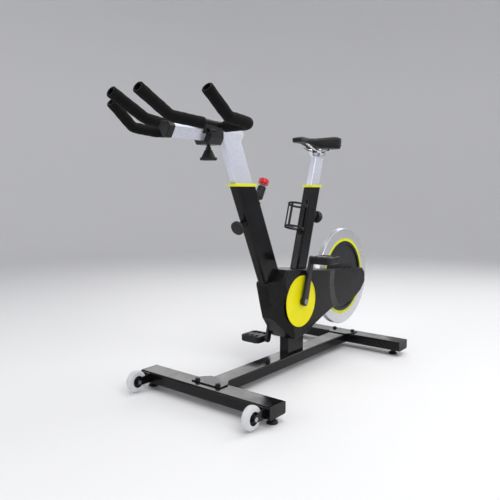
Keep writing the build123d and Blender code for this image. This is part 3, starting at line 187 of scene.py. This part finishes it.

# ---- finishes: base colour, second colour, low and high roughness, and what is special to each
# Each finish's highlight colour and amount paint a lighter edge highlight into its colour.
finishes = {
    "frame_paint": dict(base=(0.0035, 0.0035, 0.004), second=(0.006, 0.006, 0.007), rough=(0.13, 0.24),
                        spec=0.2, grainScale=500, bump=0.02, dust=0.015, highlightColour=(0.05, 0.05, 0.055),
                        highlightAmount=0.3),
    "post_silver": dict(base=(0.66, 0.68, 0.76), second=(0.6, 0.62, 0.7), rough=(0.26, 0.38), metal=0.45,
                        stretch=(90, 90, 3), lines=30, bump=0.05, dust=0.03, highlightColour=(0.8, 0.8, 0.82),
                        highlightAmount=0.4),
    "rail_silver": dict(base=(0.64, 0.66, 0.73), second=(0.58, 0.6, 0.67), rough=(0.26, 0.38), metal=0.45,
                        stretch=(3, 90, 90), lines=30, bump=0.05, dust=0.03, highlightColour=(0.8, 0.8, 0.82),
                        highlightAmount=0.4),
    "black_plastic": dict(base=(0.006, 0.006, 0.0065), second=(0.012, 0.012, 0.013), rough=(0.42, 0.6),
                          spec=0.3, grainScale=1300, bump=0.16, dust=0.1, highlightColour=(0.06, 0.06, 0.06),
                          highlightAmount=0.3),
    "cover_plastic": dict(base=(0.006, 0.006, 0.0065), second=(0.009, 0.009, 0.0095), rough=(0.2, 0.32),
                          spec=0.14, grainScale=700, bump=0.03, dust=0.04, highlightColour=(0.05, 0.05, 0.055),
                          highlightAmount=0.25),
    "yellow_plastic": dict(base=(0.72, 0.74, 0.01), second=(0.64, 0.66, 0.01), rough=(0.28, 0.42), coat=0.2,
                           grainScale=900, bump=0.06, dust=0.05, highlightColour=(0.8, 0.82, 0.3), highlightAmount=0.3),
    "disc_yellow": dict(base=(0.86, 0.78, 0.0), second=(0.8, 0.72, 0.0), rough=(0.34, 0.46), spec=0.2,
                        grainScale=900, bump=0.05, dust=0.01, highlightColour=(0.95, 0.9, 0.35), highlightAmount=0.3),
    "ring_yellow": dict(base=(0.76, 0.78, 0.0), second=(0.68, 0.7, 0.0), rough=(0.32, 0.46), spec=0.35,
                        grainScale=700, bump=0.05, dust=0.02, highlightColour=(0.8, 0.8, 0.4), highlightAmount=0.4),
    "disc_black": dict(base=(0.006, 0.0065, 0.009), second=(0.012, 0.013, 0.017), rough=(0.34, 0.5),
                       spec=0.3, grainScale=600, bump=0.14, dust=0.06, highlightColour=(0.1, 0.1, 0.1), highlightAmount=0.3),
    "rim_steel": dict(base=(0.7, 0.71, 0.74), second=(0.6, 0.61, 0.64), rough=(0.26, 0.4), metal=0.85,
                      stretch=(14, 260, 14), lines=14, bump=0.06, dust=0.02, highlightColour=(0.8, 0.8, 0.8),
                      highlightAmount=0.3),
    "bolt_steel": dict(base=(0.42, 0.42, 0.44), second=(0.3, 0.3, 0.32), rough=(0.25, 0.42), metal=1.0,
                       grainScale=700, bump=0.08, dust=0.02, highlightColour=(0.7, 0.7, 0.7), highlightAmount=0.4),
    "crank_steel": dict(base=(0.02, 0.02, 0.024), second=(0.03, 0.03, 0.034), rough=(0.2, 0.36), metal=0.6,
                        stretch=(70, 70, 8), lines=30, bump=0.06, dust=0.03, highlightColour=(0.25, 0.25, 0.26),
                        highlightAmount=0.5),
    "chrome": dict(base=(0.72, 0.72, 0.74), second=(0.62, 0.62, 0.65), rough=(0.06, 0.16), metal=1.0,
                   grainScale=500, bump=0.02, dust=0.02, highlightColour=(0.8, 0.8, 0.8), highlightAmount=0.2),
    "tube_black": dict(base=(0.005, 0.005, 0.0055), second=(0.009, 0.009, 0.01), rough=(0.24, 0.38),
                       spec=0.3, grainScale=600, bump=0.04, dust=0.06, highlightColour=(0.1, 0.1, 0.1), highlightAmount=0.3),
    "carriage_black": dict(base=(0.005, 0.005, 0.006), second=(0.01, 0.01, 0.011), rough=(0.32, 0.48),
                           spec=0.3, grainScale=900, bump=0.1, dust=0.06, highlightColour=(0.16, 0.16, 0.16),
                           highlightAmount=0.4),
    "foam": dict(base=(0.0035, 0.0035, 0.0035), second=(0.007, 0.007, 0.007), rough=(0.75, 0.9), pores=620,
                 bump=0.5, dust=0.015, sheen=0.02, spec=0.1),
    "wheel_white": dict(base=(0.64, 0.65, 0.67), second=(0.56, 0.57, 0.59), rough=(0.3, 0.5), soft=0.25,
                        grainScale=500, bump=0.08, dust=0.12, highlightColour=(0.6, 0.6, 0.6), highlightAmount=0.2),
    "belt_rubber": dict(base=(0.006, 0.006, 0.006), second=(0.012, 0.012, 0.012), rough=(0.5, 0.7),
                        spec=0.3, grainScale=1200, bump=0.15, dust=0.05, highlightColour=(0.05, 0.05, 0.05),
                        highlightAmount=0.2),
    "pad_vinyl": dict(base=(0.005, 0.005, 0.0055), second=(0.009, 0.009, 0.01), rough=(0.38, 0.56),
                      leather=420, bump=0.35, dust=0.02, sheen=0.03, spec=0.25),
    "tray_grey": dict(base=(0.5, 0.51, 0.53), second=(0.42, 0.43, 0.45), rough=(0.35, 0.5), grainScale=1100,
                      bump=0.12, dust=0.06, highlightColour=(0.65, 0.65, 0.66), highlightAmount=0.3),
    "knob_red": dict(base=(0.6, 0.012, 0.012), second=(0.48, 0.01, 0.012), rough=(0.22, 0.36), coat=0.3,
                     grainScale=900, bump=0.05, dust=0.04, highlightColour=(0.75, 0.2, 0.2), highlightAmount=0.3),
    "pedal_black": dict(base=(0.006, 0.006, 0.0065), second=(0.012, 0.012, 0.013), rough=(0.4, 0.62),
                        spec=0.3, grainScale=1100, bump=0.18, dust=0.12, highlightColour=(0.12, 0.12, 0.12),
                        highlightAmount=0.5),
    "thread": dict(base=(0.05, 0.05, 0.052), second=(0.08, 0.08, 0.082), rough=(0.6, 0.8), grainScale=2500,
                   bump=0.3, dust=0.02, highlightColour=(0.1, 0.1, 0.1), highlightAmount=0.1),
}


# What all finishes share, in metres where it is a length.
surface = dict(cloudScale=9.0, grainScale=900, edgeWidth=0.0011, bumpDistance=0.0004, coatRough=0.12,
               scatter=(0.004, 0.004, 0.004), dustColour=(0.45, 0.43, 0.4, 1))


def makeFinish(name, look):
    material = bpy.data.materials.new(name + "Finish")
    material.use_nodes = True
    tree = material.node_tree
    shader = tree.nodes["Principled BSDF"]
    place = addNode(tree, "ShaderNodeTexCoord").outputs["Object"]

    def useEffect(kind, **values):
        node = addNode(tree, "ShaderNodeGroup", node_tree=effects[kind])
        tree.links.new(place, node.inputs["Vector"])
        for label, value in values.items():
            node.inputs[label.replace("_", " ")].default_value = value
        return node

    grain = useEffect("grain", Cloud_Scale=surface["cloudScale"],
                      Grain_Scale=look.get("grainScale", surface["grainScale"]))
    cloud, height = grain.outputs["Cloud"], grain.outputs["Grain"]
    if "lines" in look:
        brush = useEffect("brush", Stretch=look["stretch"], Scale=look["lines"])
        height = brush.outputs["Lines"]
        cloud = addRange(tree, height, 0.3, 0.7)
    if "leather" in look:
        cells = addNode(tree, "ShaderNodeTexVoronoi", feature="DISTANCE_TO_EDGE")
        cells.inputs["Scale"].default_value = look["leather"]
        cells.inputs["Randomness"].default_value = 0.9
        tree.links.new(place, cells.inputs["Vector"])
        height = addRange(tree, cells.outputs["Distance"], 0.0, 0.28)
    if "pores" in look:
        cells = addNode(tree, "ShaderNodeTexVoronoi", feature="F1")
        cells.inputs["Scale"].default_value = look["pores"]
        tree.links.new(place, cells.inputs["Vector"])
        height = addRange(tree, cells.outputs["Distance"], 0.15, 0.7)

    tint = addNode(tree, "ShaderNodeMix", data_type="RGBA")
    tint.inputs["A"].default_value = (*look["base"], 1)
    tint.inputs["B"].default_value = (*look["second"], 1)
    tree.links.new(cloud, tint.inputs["Factor"])
    colour = tint.outputs["Result"]
    rough = addRange(tree, cloud, 0.0, 1.0, *look["rough"])

    bump = addNode(tree, "ShaderNodeBump")
    bump.inputs["Strength"].default_value = look["bump"]
    bump.inputs["Distance"].default_value = surface["bumpDistance"]
    tree.links.new(height, bump.inputs["Height"])
    # Painted highlight: a lighter colour is laid along the edges wherever the edge mask is high.
    if "highlightColour" in look:
        edge = useEffect("edge", Width=surface["edgeWidth"], Amount=look["highlightAmount"])
        paintedHighlight = addNode(tree, "ShaderNodeMix", data_type="RGBA")
        paintedHighlight.inputs["B"].default_value = (*look["highlightColour"], 1)
        tree.links.new(colour, paintedHighlight.inputs["A"])
        tree.links.new(edge.outputs["Mask"], paintedHighlight.inputs["Factor"])
        tree.links.new(edge.outputs["Normal"], bump.inputs["Normal"])
        colour = paintedHighlight.outputs["Result"]

    dust = useEffect("dust", Amount=look["dust"])
    dusty = addNode(tree, "ShaderNodeMix", data_type="RGBA")
    dusty.inputs["B"].default_value = surface["dustColour"]
    tree.links.new(colour, dusty.inputs["A"])
    tree.links.new(dust.outputs["Mask"], dusty.inputs["Factor"])
    tree.links.new(dusty.outputs["Result"], shader.inputs["Base Color"])
    tree.links.new(addMath(tree, "ADD", rough, dust.outputs["Mask"]), shader.inputs["Roughness"])
    tree.links.new(bump.outputs["Normal"], shader.inputs["Normal"])
    shader.inputs["Metallic"].default_value = look.get("metal", 0.0)
    shader.inputs["Coat Weight"].default_value = look.get("coat", 0.0)
    shader.inputs["Coat Roughness"].default_value = surface["coatRough"]
    shader.inputs["Specular IOR Level"].default_value = look.get("spec", 0.5)
    shader.inputs["Sheen Weight"].default_value = look.get("sheen", 0.0)
    if "soft" in look:
        shader.inputs["Subsurface Weight"].default_value = look["soft"]
        shader.inputs["Subsurface Radius"].default_value = surface["scatter"]
    return material


materials = {name: makeFinish(name, look) for name, look in finishes.items()}
print("finishes made", len(materials))

# ---- carried-over CAD nodes take their finish from the record's slots
slotOf = {part["node"]: part["material_slot"] for part in frame["record"]["subparts"]}
for name, piece in nodes.items():
    finish = materials[slotOf[name]]
    if not piece.material_slots:
        piece.data.materials.append(finish)
    for holder in piece.material_slots:
        holder.material = finish
print("CAD nodes painted")


# ---- new pieces
def newPiece(name, mesh, slotName):
    piece = placeObject(name, mesh)
    if not mesh.materials:
        mesh.materials.append(materials[slotName])
    shadeSmooth(mesh)
    return piece


def roundPath(points, bend, step):
    # Centre points of a path whose corners are rounded to one bend radius.
    corners = [Vector(p) for p in points]
    line = [corners[0]]
    for before, here, after in zip(corners, corners[1:], corners[2:]):
        back = (before - here).normalized()
        ahead = (after - here).normalized()
        half = back.angle(ahead) / 2
        reach = bend / math.tan(half)
        centre = here + (back + ahead).normalized() * (bend / math.sin(half))
        first = here + back * reach - centre
        last = here + ahead * reach - centre
        sweep = first.angle(last)
        axis = first.cross(last).normalized()
        count = max(4, int(bend * sweep / step))
        for index in range(count + 1):
            line.append(centre + Matrix.Rotation(sweep * index / count, 3, axis) @ first)
    line.append(corners[-1])
    full = [line[0]]
    for a, b in zip(line, line[1:]):
        count = max(1, int((b - a).length / step))
        full += [a.lerp(b, (index + 1) / count) for index in range(count)]
    return full


def pathFrames(line):
    # A direction and one side vector at every point, carried along without twist.
    frames = []
    side = None
    for index, point in enumerate(line):
        ahead = (line[min(index + 1, len(line) - 1)] - line[max(index - 1, 0)]).normalized()
        if side is None:
            side = ahead.orthogonal().normalized()
        side = (side - ahead * side.dot(ahead)).normalized()
        frames.append((point, ahead, side))
    return frames


gripShape = dict(outer=0.018, inner=0.01425, lip=0.0022, sides=40, step=0.006, swell=0.0005,
                 waves=(0.9, 0.37), lipShift=0.7)


def gripMesh(name, points, bend):
    # Foam sleeve: a closed wall round a bore, chamfered lips, a slightly uneven skin.
    line = roundPath(points, bend, gripShape["step"])
    frames = pathFrames(line)
    total = len(frames) - 1
    outer, inner, lip = gripShape["outer"], gripShape["inner"], gripShape["lip"]
    fast, slow = gripShape["waves"]
    reach = gripShape["lipShift"] * gripShape["step"]
    rings = []
    for index, (point, ahead, side) in enumerate(frames):
        wave = gripShape["swell"] * math.sin(index * fast) * math.sin(index * slow + 1.0)
        shift = 0.0
        radius = outer + wave - gripShape["swell"]
        if index in (0, total):
            radius = outer - lip
        elif index in (1, total - 1):
            shift = -reach if index == 1 else reach
        rings.append((point + ahead * shift, ahead, side, radius))
    for point, ahead, side in (frames[-1], frames[0]):
        rings.append((point, ahead, side, inner))
    build = bmesh.new()
    sides = gripShape["sides"]
    loops = []
    for point, ahead, side, radius in rings:
        up = ahead.cross(side)
        loops.append([build.verts.new(point + radius * (math.cos(t) * side + math.sin(t) * up))
                      for t in (2 * math.pi * k / sides for k in range(sides))])
    # The inner wall needs its own rings so that it follows the bends.
    walls = [[build.verts.new(p + inner * (math.cos(t) * s + math.sin(t) * a.cross(s)))
              for t in (2 * math.pi * k / sides for k in range(sides))] for p, a, s in frames[1:-1]]
    chain = loops[:-1] + walls[::-1] + loops[-1:]
    for first, second in zip(chain, chain[1:] + chain[:1]):
        for k in range(sides):
            build.faces.new((first[k], first[(k + 1) % sides], second[(k + 1) % sides], second[k]))
    bmesh.ops.recalc_face_normals(build, faces=build.faces)
    mesh = bpy.data.meshes.new(name)
    build.to_mesh(mesh)
    build.free()
    return mesh


gripPaths = {
    "outer": dict(points=[(0.404, 0.098, 0.901), (0.404, 0.203, 0.901), (0.510, 0.205, 0.910),
                          (0.596, 0.202, 0.980)], bend=0.034, node="outer_grips"),
    "aero": dict(points=[(0.470, 0.0687, 0.9078), (0.588, 0.053, 0.918), (0.7096, 0.057, 0.981)], bend=0.070,
                 node="aero_grips"),
}
for label, path in gripPaths.items():
    for sideName, way in (("left", 1), ("right", -1)):
        points = [(x, way * y, z) for x, y, z in path["points"]]
        title = sideName + label.capitalize() + "Grip"
        grip = newPiece(title, gripMesh(title, points, path["bend"]), "foam")
        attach(grip, "handlebar")
        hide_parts(path["node"])
print("grips made")


# ---- saddle pad: crowned closed form, filled by a short cloth run, then a seam and stitches
saddle = dict(voxel=0.004, pressure=4.0, cap=0.0035, frames=20, seamShare=0.34, stitchShare=0.45, stations=60,
              seamDepth=0.0015, seamWidth=0.0026, channelDepth=0.0022, channelWidth=0.005,
              channelNose=0.012, channelSpread=0.02, hollowDepth=0.0035, hollowWidth=0.009,
              floorGap=0.0002, endMargin=0.01, castGap=0.1)


def cleanCopy(source, name):
    mesh = source.data.copy()
    mesh.materials.clear()
    build = bmesh.new()
    build.from_mesh(mesh)
    bmesh.ops.remove_doubles(build, verts=build.verts, dist=1e-5)
    bmesh.ops.recalc_face_normals(build, faces=build.faces)
    build.to_mesh(mesh)
    build.free()
    return placeObject(name, mesh)


def applyModifiers(piece):
    depsgraph = bpy.context.evaluated_depsgraph_get()
    mesh = bpy.data.meshes.new_from_object(piece.evaluated_get(depsgraph))
    piece.modifiers.clear()
    piece.data = mesh


def measurePad():
    # Height of the underside and the crest along the middle of the CAD solid.
    source = nodes["saddle_pad"]
    low, high = (Vector(c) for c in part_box("saddle_pad"))
    margin, gap = saddle["endMargin"], saddle["castGap"]
    table = []
    for index in range(saddle["stations"] + 1):
        share = index / saddle["stations"]
        x = low.x + (high.x - low.x) * (margin + (1 - 2 * margin) * share)
        under = source.ray_cast(Vector((x, 0, low.z - gap)), Vector((0, 0, 1)))[1]
        crest = source.ray_cast(Vector((x, 0, high.z + gap)), Vector((0, 0, -1)))[1]
        table.append((x, under.z, crest.z))
    return table


padTable = measurePad()


def padSpan(x):
    # Underside and crest heights at one place along the saddle.
    share = (x - padTable[0][0]) / (padTable[-1][0] - padTable[0][0]) * (len(padTable) - 1)
    share = min(max(share, 0), len(padTable) - 1.001)
    before, after = padTable[int(share)], padTable[int(share) + 1]
    mix = share - int(share)
    return before[1] * (1 - mix) + after[1] * mix, before[2] * (1 - mix) + after[2] * mix


def padHeight(x, share):
    under, crest = padSpan(x)
    return under + share * (crest - under)


def bell(offset, width):
    return math.exp(-(offset / width) ** 2)


def clamp(value):
    return min(1, max(0, value))


def makeSaddle():
    low, high = (Vector(c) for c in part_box("saddle_pad"))
    pad = cleanCopy(nodes["saddle_pad"], "saddlePad")
    remesh = pad.modifiers.new("even", "REMESH")
    remesh.mode = "VOXEL"
    remesh.voxel_size = saddle["voxel"]
    applyModifiers(pad)
    smooth = pad.modifiers.new("soften", "SMOOTH")
    smooth.factor = 0.5
    smooth.iterations = 5
    applyModifiers(pad)
    rest = [v.co.copy() for v in pad.data.vertices]
    cloth = pad.modifiers.new("fill", "CLOTH")
    cloth.settings.use_pressure = True
    cloth.settings.uniform_pressure_force = saddle["pressure"]
    cloth.settings.effector_weights.gravity = 0
    cloth.settings.quality = 6
    cloth.point_cache.frame_start = 1
    cloth.point_cache.frame_end = saddle["frames"]
    for number in range(1, saddle["frames"] + 1):
        bpy.context.scene.frame_set(number)
    applyModifiers(pad)
    bpy.context.scene.frame_set(1)
    for vertex, start in zip(pad.data.vertices, rest):
        move = vertex.co - start
        if move.length > saddle["cap"]:
            move = move.normalized() * saddle["cap"]
        place = start + move
        place.z = max(place.z, padSpan(place.x)[0] + saddle["floorGap"])
        vertex.co = place
    # A sewn seam runs round the side, and two channels and a hollow run along the top.
    for vertex in pad.data.vertices:
        place = vertex.co
        back = (high.x - place.x) / (high.x - low.x)
        normal = vertex.normal
        seamZ = padHeight(place.x, saddle["seamShare"])
        groove = bell(place.z - seamZ, saddle["seamWidth"]) * max(0.0, 1 - abs(normal.z))
        dip = saddle["seamDepth"] * groove
        if normal.z > 0.5:
            line = saddle["channelNose"] + saddle["channelSpread"] * back
            channel = bell(abs(place.y) - line, saddle["channelWidth"]) * clamp((back - 0.3) * 6)
            hollow = bell(place.y, saddle["hollowWidth"]) * clamp((back - 0.35) * 5)
            dip += saddle["channelDepth"] * channel
            dip += saddle["hollowDepth"] * hollow * clamp((0.97 - back) * 8)
        vertex.co = place - normal * dip
    finer = pad.modifiers.new("finer", "SUBSURF")
    finer.levels = finer.render_levels = 1
    applyModifiers(pad)
    pad.data.materials.append(materials["pad_vinyl"])
    shadeSmooth(pad.data)
    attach(pad, "saddle")
    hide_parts("saddle_pad")
    return pad


saddlePad = makeSaddle()
print("saddle made", len(saddlePad.data.vertices), "points")


# ---- stitches above the saddle seam, placed by a geometry node tree
stitchSize = dict(Spacing=0.0048, Length=0.0034, Thickness=0.0005)
seamCast = dict(rays=220, tries=3, middle=0.38, reach=0.4, spread=0.1, lift=0.0001)


def buildStitchTree():
    tree = bpy.data.node_groups.new("stitchRow", "GeometryNodeTree")
    tree.interface.new_socket("Geometry", in_out="INPUT", socket_type="NodeSocketGeometry")
    for label, value in stitchSize.items():
        socket = tree.interface.new_socket(label, in_out="INPUT", socket_type="NodeSocketFloat")
        socket.default_value = value
    tree.interface.new_socket("Material", in_out="INPUT", socket_type="NodeSocketMaterial")
    tree.interface.new_socket("Geometry", in_out="OUTPUT", socket_type="NodeSocketGeometry")
    enter = tree.nodes.new("NodeGroupInput")
    leave = tree.nodes.new("NodeGroupOutput")
    points = addNode(tree, "GeometryNodeCurveToPoints", mode="LENGTH")
    stitch = addNode(tree, "GeometryNodeMeshUVSphere")
    stitch.inputs["Segments"].default_value = 6
    stitch.inputs["Rings"].default_value = 5
    stitch.inputs["Radius"].default_value = 1.0
    size = addNode(tree, "ShaderNodeCombineXYZ")
    half = addMath(tree, "MULTIPLY", enter.outputs["Length"], 0.5)
    copies = addNode(tree, "GeometryNodeInstanceOnPoints")
    real = addNode(tree, "GeometryNodeRealizeInstances")
    paint = addNode(tree, "GeometryNodeSetMaterial")
    link = tree.links.new
    link(enter.outputs["Geometry"], points.inputs["Curve"])
    link(enter.outputs["Spacing"], points.inputs["Length"])
    link(points.outputs["Points"], copies.inputs["Points"])
    link(stitch.outputs["Mesh"], copies.inputs["Instance"])
    link(points.outputs["Rotation"], copies.inputs["Rotation"])
    link(enter.outputs["Thickness"], size.inputs["X"])
    link(enter.outputs["Thickness"], size.inputs["Y"])
    link(half, size.inputs["Z"])
    link(size.outputs[0], copies.inputs["Scale"])
    link(copies.outputs["Instances"], real.inputs["Geometry"])
    link(real.outputs["Geometry"], paint.inputs["Geometry"])
    link(enter.outputs["Material"], paint.inputs["Material"])
    link(paint.outputs["Geometry"], leave.inputs["Geometry"])
    return tree


def runTree(curveObject, tree, **values):
    modifier = curveObject.modifiers.new("tree", "NODES")
    modifier.node_group = tree
    for item in tree.interface.items_tree:
        if item.in_out == "INPUT" and item.name in values:
            modifier[item.identifier] = values[item.name]
    depsgraph = bpy.context.evaluated_depsgraph_get()
    mesh = bpy.data.meshes.new_from_object(curveObject.evaluated_get(depsgraph))
    bpy.data.objects.remove(curveObject)
    return mesh


def seamCurve(pad, share):
    # The pad's outline at one share of its thickness, found by casting rays
    # inwards from all round and lifted slightly off the skin.
    low, high = (Vector(c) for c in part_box("saddle_pad"))
    middleX = low.x * (1 - seamCast["middle"]) + high.x * seamCast["middle"]
    points = []
    for index in range(seamCast["rays"]):
        angle = 2 * math.pi * index / seamCast["rays"]
        way = Vector((math.cos(angle), math.sin(angle), 0))
        height = padHeight(middleX + seamCast["spread"] * way.x, share)
        for _ in range(seamCast["tries"]):
            start = Vector((middleX, 0, height)) + way * seamCast["reach"]
            hit, place, normal, _ = pad.ray_cast(start, -way)
            if not hit:
                break
            height = padHeight(place.x, share)
        if hit:
            points.append(place + normal * seamCast["lift"])
    curve = bpy.data.curves.new("seamLine", "CURVE")
    curve.dimensions = "3D"
    spline = curve.splines.new("POLY")
    spline.points.add(len(points) - 1)
    for point, place in zip(spline.points, points):
        point.co = (*place, 1)
    spline.use_cyclic_u = True
    return placeObject("seamLine", curve)


stitchTree = buildStitchTree()
bpy.context.view_layer.update()
stitchMesh = runTree(seamCurve(saddlePad, saddle["stitchShare"]), stitchTree,
                     Material=materials["thread"], **stitchSize)
stitches = newPiece("saddleStitches", stitchMesh, "thread")
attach(stitches, "saddle")
print("stitches made")

# ---- floor, light and camera
studio = dict(flat=4.2, flatRings=4, bend=2.0, height=4.5, sides=96, steps=12,
              colour=(0.8, 0.8, 0.81, 1), rough=0.6)
sky = dict(colour=(0.95, 0.96, 1.0, 1), strength=0.36)


def makeStudio():
    # A pale floor that curves up into a pale wall all round.
    rounds = studio["flatRings"]
    profile = [(studio["flat"] * k / rounds, 0.0) for k in range(1, rounds + 1)]
    for index in range(1, studio["steps"] + 1):
        angle = math.pi / 2 * index / studio["steps"]
        profile.append((studio["flat"] + studio["bend"] * math.sin(angle),
                        studio["bend"] * (1 - math.cos(angle))))
    profile.append((studio["flat"] + studio["bend"], studio["height"]))
    build = bmesh.new()
    centre = build.verts.new((0, 0, 0))
    rings = [[build.verts.new((r * math.cos(t), r * math.sin(t), z))
              for t in (2 * math.pi * k / studio["sides"] for k in range(studio["sides"]))]
             for r, z in profile]
    count = studio["sides"]
    for k in range(count):
        build.faces.new((centre, rings[0][k], rings[0][(k + 1) % count]))
    for low, high in zip(rings, rings[1:]):
        for k in range(count):
            build.faces.new((low[k], high[k], high[(k + 1) % count], low[(k + 1) % count]))
    mesh = bpy.data.meshes.new("studioFloor")
    build.to_mesh(mesh)
    build.free()
    shadeSmooth(mesh)
    material = bpy.data.materials.new("floorPaint")
    material.use_nodes = True
    shader = material.node_tree.nodes["Principled BSDF"]
    shader.inputs["Base Color"].default_value = studio["colour"]
    shader.inputs["Roughness"].default_value = studio["rough"]
    mesh.materials.append(material)
    return placeObject("studioFloor", mesh)


makeStudio()

world = bpy.data.worlds.new("studio")
world.use_nodes = True
background = world.node_tree.nodes["Background"]
background.inputs["Color"].default_value = sky["colour"]
background.inputs["Strength"].default_value = sky["strength"]
bpy.context.scene.world = world
bpy.context.scene.view_settings.view_transform = "Standard"

lamps = {
    "keySoft": dict(place=(1.2, 2.8, 2.8), aim=(0, 0, 0.4), size=2.0, power=62),
    "topSoft": dict(place=(-0.3, 0.2, 3.4), aim=(0, 0, 0.3), size=2.6, power=60),
    "rearSoft": dict(place=(-2.8, 1.2, 2.0), aim=(0, 0, 0.4), size=1.6, power=26),
    "frontFill": dict(place=(3.2, -1.4, 1.6), aim=(0, 0, 0.5), size=2.0, power=30),
    "glossPanel": dict(place=(-3.1, -2.5, 1.55), aim=(0, 0, 0.1), size=3.0, tall=1.1, power=3.8, spread=1.3),
}
for name, lamp in lamps.items():
    data = bpy.data.lights.new(name, "AREA")
    data.size = lamp["size"]
    data.energy = lamp["power"]
    if "tall" in lamp:
        data.shape = "RECTANGLE"
        data.size_y = lamp["tall"]
    data.spread = lamp.get("spread", math.pi)
    holder = placeObject(name, data)
    holder.location = lamp["place"]
    holder.visible_camera = False
    toAim = Vector(lamp["aim"]) - Vector(lamp["place"])
    holder.rotation_euler = toAim.to_track_quat("-Z", "Y").to_euler()

cameraSet = dict(place=(1.714, 1.240, 0.705), look=(-0.7776, -0.6199, -0.1050), lens=40.26, sensor=36.0)
cameraData = bpy.data.cameras.new("camera")
cameraData.lens = cameraSet["lens"]
cameraData.sensor_width = cameraSet["sensor"]
camera = placeObject("camera", cameraData)
camera.location = cameraSet["place"]
camera.rotation_euler = Vector(cameraSet["look"]).to_track_quat("-Z", "Y").to_euler()
bpy.context.scene.camera = camera
print("stage set")
